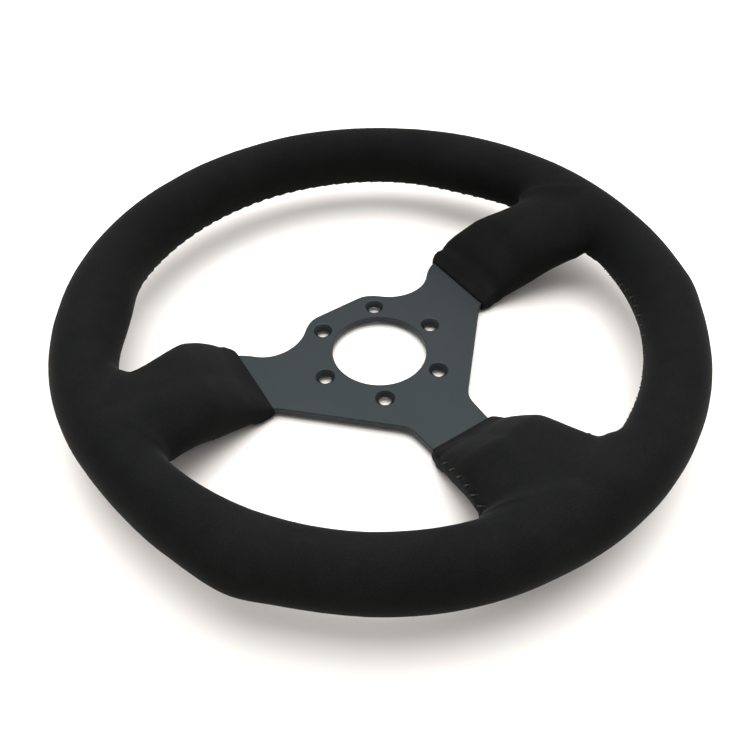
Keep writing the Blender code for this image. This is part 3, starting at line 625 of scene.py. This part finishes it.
def stitch_rings(strip, along, across, place, slant):
    """Rings of one twisted thread that crosses a seam and dives into the suede at both ends."""
    t = np.linspace(-1, 1, THREAD_RINGS) * 1.06
    distance = t * STITCH_REACH
    rows = np.interp(place + t * slant / 2, along, np.arange(len(along)))
    columns = np.interp(distance, across, np.arange(len(across)))
    normals = bilinear(strip_normals(strip), rows, columns)
    normals = normals / np.linalg.norm(normals, axis=1)[:, None]
    lift = STITCH_LIFT - (STITCH_LIFT + STITCH_DIVE) * np.abs(t / 1.06) ** 5
    path = bilinear(strip, rows, columns) + normals * lift[:, None]
    tangent = np.gradient(path, axis=0)
    tangent = tangent / np.linalg.norm(tangent, axis=1)[:, None]
    side = np.cross(tangent, normals)
    side = side / np.linalg.norm(side, axis=1)[:, None]
    rise = np.cross(side, tangent)
    angle = np.linspace(0, 2 * math.pi, THREAD_SIDES, endpoint=False)[None, :]
    twist = np.linspace(0, 2.2 * math.pi, THREAD_RINGS)[:, None]
    radius = THREAD_RADIUS * (0.84 + 0.2 * np.cos(2 * (angle - twist)))
    ring = side[:, None, :] * (radius * np.cos(angle))[..., None]
    ring = ring + rise[:, None, :] * (radius * np.sin(angle))[..., None]
    return path[:, None, :] + ring


def thread_faces():
    faces = []
    for k in range(THREAD_RINGS - 1):
        for j in range(THREAD_SIDES):
            n = (j + 1) % THREAD_SIDES
            faces.append([k * THREAD_SIDES + j, k * THREAD_SIDES + n,
                          (k + 1) * THREAD_SIDES + n, (k + 1) * THREAD_SIDES + j])
    last = (THREAD_RINGS - 1) * THREAD_SIDES
    caps = [list(range(THREAD_SIDES))[::-1], [last + j for j in range(THREAD_SIDES)]]
    return faces, caps


def thread_piece(name, stitches, material, *nodes):
    faces, caps = thread_faces()
    size = THREAD_RINGS * THREAD_SIDES
    points = np.concatenate([rings.reshape(-1, 3) for rings in stitches])
    every = []
    for k in range(len(stitches)):
        every += [[index + k * size for index in face] for face in faces + caps]
    mesh = bpy.data.meshes.new(name)
    mesh.from_pydata(points.tolist(), [], every)
    bm = bmesh.new()
    bm.from_mesh(mesh)
    bmesh.ops.recalc_face_normals(bm, faces=bm.faces)
    bm.to_mesh(mesh)
    bm.free()
    mesh.shade_smooth()
    mesh.set_sharp_from_angle(angle=math.radians(70))
    as_piece(make_object(name, mesh, material), "thread", *nodes)


def facing(strip, centres):
    """The strip with its normals pointing away from the padding's centres."""
    middle = strip.shape[1] // 2
    out = ((strip[:, middle] - centres) * strip_normals(strip)[:, middle]).sum()
    return strip if out > 0 else strip[:, ::-1]


def build_edge_stitching(shapes, grids, material):
    near = np.array(SEAM_COLUMNS)
    across = np.concatenate([-near[::-1], near[1:]])
    for name, (rows, _, _) in shapes.items():
        grid, _ = grids[name]
        strip = grid[:, SEAM_COLUMN - len(near) + 1:SEAM_COLUMN + len(near)]
        strip = facing(strip, (grid[:, 0] + grid[:, -1]) / 2)
        along = rows["along"]
        pitch = even_pitch(along[-1])
        places = np.arange(2, round(along[-1] / pitch) - 1) * pitch
        stitches = [stitch_rings(strip, along, across, place, STITCH_SLANT) for place in places]
        thread_piece(f"stitches_{name}", stitches, material, f"stitching_{name}")


def spoke_backs(shapes, grids):
    """For each spoke, its two rear grids from seam to ridge, rows counted from the cover's end."""
    backs = {side: [] for side in SIDES}
    for name, (_, first, last) in shapes.items():
        behind = grids[name][0][:, SEAM_COLUMN:]
        backs[first].append(behind)
        backs[last].append(behind[::-1])
    return backs


def build_rear_stitching(shapes, grids, material):
    """Stitches across a spoke's back, where its cover meets the rim's."""
    seam_row = row_count_of_patch()
    window = 5
    for side, (a, b) in spoke_backs(shapes, grids).items():
        rows = slice(seam_row - window, seam_row + window + 1)
        strip = np.concatenate([a[rows], b[rows][:, ::-1][:, 1:]], axis=1).transpose(1, 0, 2)
        along = lengths_along(strip[:, window])
        if strip_normals(strip)[len(strip) // 2, window][2] > 0:
            strip = strip[:, ::-1]
        steps = np.linalg.norm(np.diff(strip, axis=1), axis=2).mean(axis=0)
        across = np.concatenate([[0], np.cumsum(steps)])
        across = across - across[window]
        count = round((along[-1] - 2 * STITCH_MARGIN) / STITCH_PITCH)
        places = np.linspace(STITCH_MARGIN, along[-1] - STITCH_MARGIN, count + 1)
        stitches = [stitch_rings(strip, along, across, place, STITCH_SLANT) for place in places]
        thread_piece(f"rear_stitches_{side}", stitches, material)


# ---------------------------------------------------------------- spoke plate

def arm_lines(side):
    """Start and end of a plate arm's centre line, with its half width at the start."""
    if side == "bottom":
        out, half = BOTTOM_ARM_START
        return np.array([0, -out]), polar(RIM_RADIUS, -90), half
    out, low, high = ARM_START
    start = np.array([out, (low + high) / 2])
    end = polar(RIM_RADIUS, SIDE_SPOKE_ANGLE)
    if side == "left":
        return start * [-1, 1], end * [-1, 1], (high - low) / 2
    return start, end, (high - low) / 2


def arm_rows(side):
    """Pairs of points across a bent arm's front face, from the flat plate to the rim's core."""
    start, junction, half_start = arm_lines(side)
    axis = (junction - start) / np.linalg.norm(junction - start)
    across = np.array([-axis[1], axis[0]])
    reach = ARM_END - np.linalg.norm(start)
    rows = []
    for place in np.linspace(0, 1, ARM_STEPS + 1):
        centre = start + axis * reach * place
        narrowing = smooth_step(place, *ARM_NARROWS)
        half = half_start + (ARM_END_WIDTH / 2 - half_start) * narrowing
        height = PLATE_TOP + (ARM_END_TOP - PLATE_TOP) * smooth_step(place, *ARM_RISES)
        if place == 0 and side != "bottom":
            across_here = np.array([0.0, 1.0]) * np.sign(across[1])
        else:
            across_here = across
        rows.append([np.array([*(centre + s * half * across_here), height]) for s in (-1, 1)])
    return rows


def cubic_mm(points, steps):
    return cubic(*[np.array(point) * MM for point in points], steps)


def plate_half_outline():
    """Right half of the flat hub's outline, above and below the side arm."""
    out, low, high = [round(size / MM, 4) for size in ARM_START]
    foot_out, foot_half = BOTTOM_ARM_START
    boss = cubic_mm([(14, 41.7), (19.5, 41.5), (23, 38.4), (27, 34.6)], 12)
    scallop = cubic_mm([(27, 34.6), (35, 27), (50, 25.3), (58.5, 34.4)], 28)
    shoulder = cubic_mm([(58.5, 34.4), (63.5, 39.6), (67, 41.6), (out, high)], 12)
    elbow = cubic_mm([(out, low), (69.7, low), (68.2, -3.8), (65.2, -6.8)], 10)
    ankle = cubic_mm([(22.5, -49.5), (19.2, -52.8), (18.6, -55), (18.3, -59)], 12)
    foot = np.array([(foot_half, -foot_out)])
    return np.concatenate([boss, scallop[1:], shoulder[1:]]), np.concatenate([elbow, ankle, foot])


def arm_edges(side):
    """Front points of an arm, [row][low or high edge], and the face's normal at each row."""
    rows = np.array(arm_rows(side))
    along = np.gradient(rows.mean(axis=1), axis=0)
    normals = np.cross(along, rows[:, 1] - rows[:, 0])
    normals = normals / np.linalg.norm(normals, axis=1)[:, None] * np.sign(normals[:, 2:])
    return rows, normals


def plate_loop():
    """Points and normals once round the plate's front face, clockwise from 12 o'clock, and the
    numbers of the points on the flat hub and of the arms' quads."""
    upper, lower = [np.column_stack([part, np.full(len(part), PLATE_TOP)])
                    for part in plate_half_outline()]
    arm, arm_normals = arm_edges("right")
    foot, foot_normals = arm_edges("bottom")
    points = np.concatenate([upper, arm[1:, 1], arm[1:, 0][::-1], lower, foot[1:, 1]])
    flat = [np.tile([0.0, 0.0, 1.0], (len(part), 1)) for part in (upper, lower)]
    normals = np.concatenate([flat[0], arm_normals[1:], arm_normals[1:][::-1], flat[1], foot_normals[1:]])
    half = len(points)
    steps = ARM_STEPS
    start = len(upper) - 1
    hub = [*range(len(upper)), *range(start + 2 * steps + 1, half - steps)]
    hub += [2 * half - 1 - k for k in reversed(hub)]
    quads = []
    for k in range(steps):
        quad = [start + k, start + k + 1, start + 2 * steps - k, start + 2 * steps + 1 - k]
        quads += [quad, [2 * half - 1 - i for i in reversed(quad)]]
        k += half - 1 - steps
        quads.append([k, k + 1, 2 * half - 2 - k, 2 * half - 1 - k])
    mirror = np.array([-1, 1, 1])
    points = np.concatenate([points, (points * mirror)[::-1]])
    normals = np.concatenate([normals, (normals * mirror)[::-1]])
    return points, normals, hub, quads


def inward_steps(points):
    """Plan direction into a clockwise outline at each point, with mitred corners."""
    plan = points[:, :2]
    edge = np.roll(plan, -1, axis=0) - plan
    edge = edge / np.linalg.norm(edge, axis=1)[:, None]
    after = np.column_stack([edge[:, 1], -edge[:, 0]])
    before = np.roll(after, 1, axis=0)
    mitre = (before + after) / (1 + (before * after).sum(axis=1))[:, None]
    return np.column_stack([mitre, np.zeros(len(points))])


def plate_mesh():
    """The closed plate with small chamfers round both faces."""
    points, normals, hub, quads = plate_loop()
    inward = inward_steps(points) * EDGE_CHAMFER
    rings = [points + inward, points - normals * EDGE_CHAMFER,
             points - normals * (PLATE_THICKNESS - EDGE_CHAMFER),
             points + inward - normals * PLATE_THICKNESS]
    count = len(points)
    bm = bmesh.new()
    verts = [bm.verts.new(point) for ring in rings for point in ring]
    for base in (0, 3 * count):
        for face in [hub, *quads]:
            bm.faces.new([verts[base + k] for k in face])
    for band in range(3):
        for k in range(count):
            n = (k + 1) % count
            quad = [band * count + k, band * count + n, (band + 1) * count + n, (band + 1) * count + k]
            face = bm.faces.new([verts[i] for i in quad])
            face.material_index = 0 if band == 1 else 1
    bm.normal_update()
    bmesh.ops.recalc_face_normals(bm, faces=bm.faces)
    mesh = bpy.data.meshes.new("anodised_spoke_plate")
    bm.to_mesh(mesh)
    bm.free()
    return mesh


def lathe(name, profile, steps, location=(0, 0, 0), slots=()):
    """Closed turned solid from (radius, height) points, with a material slot for each band."""
    bm = bmesh.new()
    rings = []
    for radius, height in profile:
        if radius == 0:
            rings.append([bm.verts.new((0, 0, height))])
            continue
        rings.append([bm.verts.new((radius * math.cos(a), radius * math.sin(a), height))
                      for a in np.linspace(0, 2 * math.pi, steps, endpoint=False)])
    for band, (lower, upper) in enumerate(zip(rings, rings[1:])):
        for k in range(steps):
            a = [lower[k % len(lower)], lower[(k + 1) % len(lower)]]
            b = [upper[(k + 1) % len(upper)], upper[k % len(upper)]]
            face = bm.faces.new(list(dict.fromkeys(a + b)))
            face.material_index = slots[band] if slots else 0
    bmesh.ops.translate(bm, verts=bm.verts, vec=Vector(location))
    bm.normal_update()
    bmesh.ops.recalc_face_normals(bm, faces=bm.faces)
    mesh = bpy.data.meshes.new(name)
    bm.to_mesh(mesh)
    bm.free()
    return mesh


def plate_cutters(*materials):
    """The hub bore, the countersunk bolt holes and the rivet holes."""
    flare = BORE_RADIUS + EDGE_CHAMFER + MM
    profile = [(0, PLATE_REAR - MM), (flare, PLATE_REAR - MM), (BORE_RADIUS, PLATE_REAR + EDGE_CHAMFER),
               (BORE_RADIUS, PLATE_TOP - EDGE_CHAMFER), (flare, PLATE_TOP + MM), (0, PLATE_TOP + MM)]
    meshes = [lathe("cutter_bore", profile, BORE_STEPS, slots=(0, 1, 3, 1, 0))]
    hole = BOLT_HOLE / 2
    sink = COUNTERSINK / 2
    lip = COUNTERSINK_LIP
    profile = [(0, PLATE_REAR - MM), (hole + HOLE_CHAMFER + MM, PLATE_REAR - MM),
               (hole, PLATE_REAR + HOLE_CHAMFER), (hole, PLATE_TOP - (sink - hole)),
               (sink - lip, PLATE_TOP - lip), (sink + 2 * lip + 2 * MM, PLATE_TOP + MM), (0, PLATE_TOP + MM)]
    for k in range(BOLT_COUNT):
        x, y = polar(BOLT_CIRCLE / 2, 360 * k / BOLT_COUNT)
        meshes.append(lathe(f"cutter_bolt_{k}", profile, HOLE_STEPS, (x, y, 0), slots=(0, 1, 2, 2, 1, 0)))
    radius = RIVET_SHANK / 2 + GAP
    profile = [(0, PLATE_REAR), (radius, PLATE_REAR), (radius, RIM_Z), (0, RIM_Z)]
    for side in SIDES:
        start, junction, _ = arm_lines(side)
        axis = (junction - start) / np.linalg.norm(junction - start)
        across = np.array([-axis[1], axis[0]])
        centre = start + axis * (RIVET_DISTANCE - np.linalg.norm(start))
        for sign in (-1, 1):
            x, y = centre + sign * across * RIVET_SPACING / 2
            meshes.append(lathe(f"cutter_rivet_{side}", profile, RIVET_STEPS, (x, y, 0)))
    return [make_object(mesh.name, mesh, *materials) for mesh in meshes]


def apply_modifiers(item):
    """Replace an object's mesh by its evaluated mesh and drop the modifiers."""
    graph = bpy.context.evaluated_depsgraph_get()
    mesh = bpy.data.meshes.new_from_object(item.evaluated_get(graph))
    item.modifiers.clear()
    item.data = mesh


def build_plate():
    """Slots: face, rubbed edges, recesses with painted shade, and the bore's wall with painted light."""
    materials = (anodised_material(), anodised_edge_material(), painted_shade_recess_material(), painted_light_bore_wall_material())
    plate = make_object("anodised_spoke_plate", plate_mesh(), *materials)
    cutters = plate_cutters(*materials)
    for cutter in cutters:
        modifier = plate.modifiers.new(cutter.name, "BOOLEAN")
        modifier.operation = "DIFFERENCE"
        modifier.solver = "EXACT"
        modifier.object = cutter
    apply_modifiers(plate)
    for cutter in cutters:
        bpy.data.objects.remove(cutter, do_unlink=True)
    plate.data.shade_smooth()
    plate.data.set_sharp_from_angle(angle=math.radians(22))
    as_piece(plate, "anodised_plate", "spoke_plate")


# ---------------------------------------------------------------- materials

class Nodes:
    """A material's node tree, with short calls for the nodes used below."""

    def __init__(self, name):
        self.material = bpy.data.materials.new(name)
        self.material.use_nodes = True
        self.tree = self.material.node_tree
        self.shader = self.tree.nodes["Principled BSDF"]
        self.place = self.tree.nodes.new("ShaderNodeTexCoord").outputs["Object"]

    def link(self, source, node, socket):
        self.tree.links.new(source, node.inputs[socket])

    def set(self, **values):
        for socket, value in values.items():
            self.shader.inputs[socket.replace("_", " ")].default_value = value

    def noise(self, size, detail=3.0, roughness=0.55, place=None):
        """Noise whose features are about size metres wide."""
        node = self.tree.nodes.new("ShaderNodeTexNoise")
        node.inputs["Scale"].default_value = 1 / size
        node.inputs["Detail"].default_value = detail
        node.inputs["Roughness"].default_value = roughness
        self.link(place or self.place, node, "Vector")
        return node.outputs["Fac"]

    def stretch(self, x, y, z):
        node = self.tree.nodes.new("ShaderNodeMapping")
        node.inputs["Scale"].default_value = (x, y, z)
        self.link(self.place, node, "Vector")
        return node.outputs["Vector"]

    def ramp(self, source, *stops):
        node = self.tree.nodes.new("ShaderNodeValToRGB")
        elements = node.color_ramp.elements
        while len(elements) < len(stops):
            elements.new(0.5)
        for element, (position, colour) in zip(elements, stops):
            element.position = position
            element.color = (*colour, 1) if not isinstance(colour, float) else (colour,) * 3 + (1,)
        self.link(source, node, "Fac")
        return node.outputs["Color"]

    def mix(self, share, a, b, blend="MIX"):
        node = self.tree.nodes.new("ShaderNodeMix")
        node.data_type = "RGBA"
        node.blend_type = blend
        for source, socket in ((share, 0), (a, 6), (b, 7)):
            if isinstance(source, (float, int)):
                node.inputs[socket].default_value = source
            elif isinstance(source, tuple):
                node.inputs[socket].default_value = (*source, 1)
            else:
                self.tree.links.new(source, node.inputs[socket])
        return node.outputs[2]

    def bump(self, source, depth, strength=1.0, below=None):
        node = self.tree.nodes.new("ShaderNodeBump")
        node.inputs["Strength"].default_value = strength
        node.inputs["Distance"].default_value = depth
        self.link(source, node, "Height")
        if below is not None:
            self.link(below, node, "Normal")
        return node.outputs["Normal"]


def suede_material():
    n = Nodes("black_suede")
    nap = n.noise(0.5 * MM, detail=2)
    strokes = n.noise(9 * MM, detail=4, roughness=0.6)
    patches = n.noise(38 * MM, detail=3)
    base = n.ramp(strokes, (0.30, (0.0049, 0.0053, 0.0051)), (0.72, (0.0083, 0.0087, 0.0083)))
    worn = n.ramp(patches, (0.35, (0.0051, 0.0055, 0.0053)), (0.75, (0.0090, 0.0094, 0.0089)))
    colour = n.mix(0.45, base, worn)
    fibres = n.ramp(nap, (0.30, 0.72), (0.70, 1.25))
    n.link(n.mix(1.0, colour, fibres, "MULTIPLY"), n.shader, "Base Color")
    n.link(n.ramp(strokes, (0.3, 0.86), (0.7, 1.0)), n.shader, "Roughness")
    coarse = n.bump(strokes, 0.25 * MM, 0.35)
    n.link(n.bump(nap, 0.12 * MM, 0.5, below=coarse), n.shader, "Normal")
    n.set(Sheen_Weight=0.04, Sheen_Roughness=0.35, Sheen_Tint=(0.85, 0.9, 0.9, 1), Specular_IOR_Level=0.03)
    return n.material


def anodised(name, low, high, specular):
    """Fine-grained black anodised surface between two base colours."""
    n = Nodes(name)
    grain = n.noise(0.35 * MM, detail=2)
    cloud = n.noise(24 * MM, detail=3)
    rubbed = n.noise(1.6 * MM, detail=4, roughness=0.65)
    n.link(n.ramp(cloud, (0.3, low), (0.75, high)), n.shader, "Base Color")
    n.link(n.ramp(rubbed, (0.3, 0.40), (0.75, 0.52)), n.shader, "Roughness")
    n.link(n.bump(grain, 0.012 * MM, 0.6), n.shader, "Normal")
    n.set(Specular_IOR_Level=specular, Specular_Tint=(0.84, 1.0, 1.02, 1))
    return n.material


def anodised_material():
    return anodised("black_anodised_aluminium", (0.004, 0.006, 0.0065), (0.006, 0.008, 0.0085), 0.25)


# Painted shade: a darker copy of the anodised finish, laid in the countersinks where shade falls.
def painted_shade_recess_material():
    return anodised("anodised_recess_painted_shade", (0.003, 0.004, 0.0045), (0.005, 0.006, 0.0065), 0.20)


# Painted light: a lighter copy of the anodised finish on the bore's wall, so the wall reads as brightly lit
# as the face.
def painted_light_bore_wall_material():
    return anodised("anodised_bore_wall_painted_light", (0.013, 0.016, 0.017), (0.018, 0.021, 0.022), 0.18)


def anodised_edge_material():
    n = Nodes("anodised_edge")
    wear = n.noise(2.2 * MM, detail=5, roughness=0.7)
    n.link(n.ramp(wear, (0.40, (0.016, 0.020, 0.021)), (0.70, (0.040, 0.044, 0.045))), n.shader, "Base Color")
    n.link(n.ramp(wear, (0.3, 0.32), (0.7, 0.46)), n.shader, "Roughness")
    n.set(Metallic=0.6)
    return n.material


def thread_material():
    n = Nodes("black_thread")
    strands = n.noise(0.3 * MM, detail=2, place=n.stretch(1, 1, 3))
    colour = n.ramp(strands, (0.3, (0.0035, 0.004, 0.004)), (0.7, (0.008, 0.009, 0.009)))
    n.link(colour, n.shader, "Base Color")
    n.link(n.bump(strands, 0.08 * MM, 0.7), n.shader, "Normal")
    n.set(Roughness=0.65, Sheen_Weight=0.05, Specular_IOR_Level=0.18)
    return n.material


def steel_material():
    n = Nodes("bare_steel")
    mill = n.noise(0.5 * MM, detail=3, place=n.stretch(1, 0.1, 1))
    cloud = n.noise(14 * MM, detail=3)
    n.link(n.ramp(cloud, (0.3, (0.36, 0.36, 0.35)), (0.7, (0.50, 0.50, 0.49))), n.shader, "Base Color")
    n.link(n.ramp(mill, (0.3, 0.30), (0.7, 0.48)), n.shader, "Roughness")
    n.link(n.bump(mill, 0.02 * MM, 0.5), n.shader, "Normal")
    n.set(Metallic=1.0)
    return n.material


def foam_material():
    n = Nodes("charcoal_foam")
    cells = n.noise(0.9 * MM, detail=4, roughness=0.7)
    n.link(n.ramp(cells, (0.35, (0.010, 0.010, 0.010)), (0.7, (0.030, 0.030, 0.030))), n.shader, "Base Color")
    n.link(n.bump(cells, 0.4 * MM, 0.8), n.shader, "Normal")
    n.set(Roughness=0.95)
    return n.material


def floor_material():
    n = Nodes("white_floor")
    n.set(Base_Color=(0.88, 0.84, 0.80, 1), Roughness=0.9, Specular_IOR_Level=0.0)
    return n.material


def finish_inner_nodes(steel):
    """The steel core keeps its CAD shape and gets a real finish."""
    for name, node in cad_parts.items():
        if name.startswith(("rim_hoop", "hoop_tab", "rivet")):
            node.data.materials.clear()
            node.data.materials.append(steel)


# ---------------------------------------------------------------- stage

def build_floor():
    size = 6.0
    mesh = bpy.data.meshes.new("floor")
    corners = [(-size, -size, 0), (size, -size, 0), (size, size, 0), (-size, size, 0)]
    mesh.from_pydata(corners, [], [(0, 1, 2, 3)])
    make_object("floor", mesh, floor_material())


def area_light(name, location, target, size, power):
    data = bpy.data.lights.new(name, "AREA")
    data.shape = "RECTANGLE"
    data.size, data.size_y = size
    data.energy = power
    item = bpy.data.objects.new(name, data)
    bpy.context.scene.collection.objects.link(item)
    item.location = location
    direction = Vector(target) - Vector(location)
    item.rotation_euler = direction.to_track_quat("-Z", "Y").to_euler()
    return item


def build_world():
    """A pale room, brighter overhead and behind the wheel than on the camera's side."""
    world = bpy.data.worlds.new("pale_room")
    world.use_nodes = True
    tree = world.node_tree
    place = tree.nodes.new("ShaderNodeTexCoord")
    facing_light = tree.nodes.new("ShaderNodeVectorMath")
    facing_light.operation = "DOT_PRODUCT"
    facing_light.inputs[1].default_value = (0.42, 0.52, 0.74)
    tree.links.new(place.outputs["Generated"], facing_light.inputs[0])
    spread = tree.nodes.new("ShaderNodeMapRange")
    for socket, value in (("From Min", -0.2), ("From Max", 0.9), ("To Min", 0.10), ("To Max", 1.95)):
        spread.inputs[socket].default_value = value
    tree.links.new(facing_light.outputs["Value"], spread.inputs["Value"])
    background = tree.nodes["Background"]
    background.inputs["Color"].default_value = (1, 1, 1, 1)
    tree.links.new(spread.outputs["Result"], background.inputs["Strength"])
    bpy.context.scene.world = world


def build_lights():
    area_light("overhead_softbox", (0.12, 0.16, 1.5), (0, 0, 0), (1.3, 1.3), 24)
    build_world()
    settings = bpy.context.scene.view_settings
    settings.view_transform = "Standard"
    settings.look = "None"


def build_camera():
    """Stands at the lower left of the wheel and looks down at it."""
    location = Vector((-169.12, -239.99, 306.87)) * MM
    aim = Vector((-27.66 * MM, -34.05 * MM, RIM_Z))
    roll = math.radians(0.164)
    data = bpy.data.cameras.new("camera")
    data.sensor_width = 36
    data.lens = 36.97
    data.clip_start = 0.01
    item = bpy.data.objects.new("camera", data)
    bpy.context.scene.collection.objects.link(item)
    turn = (aim - location).to_track_quat("-Z", "Y").to_matrix()
    item.matrix_world = Matrix.Translation(location) @ (turn @ Matrix.Rotation(-roll, 3, "Z")).to_4x4()
    bpy.context.scene.camera = item


def build():
    suede = suede_material()
    thread = thread_material()
    shapes = openings()
    grids = {name: opening_grid(rows) for name, (rows, _, _) in shapes.items()}
    skin = grip_skin(shapes, grids)
    build_covers(skin, suede)
    build_foam(skin, foam_material())
    build_edge_stitching(shapes, grids, thread)
    build_rear_stitching(shapes, grids, thread)
    build_plate()
    finish_inner_nodes(steel_material())
    build_floor()
    build_lights()
    build_camera()


build()
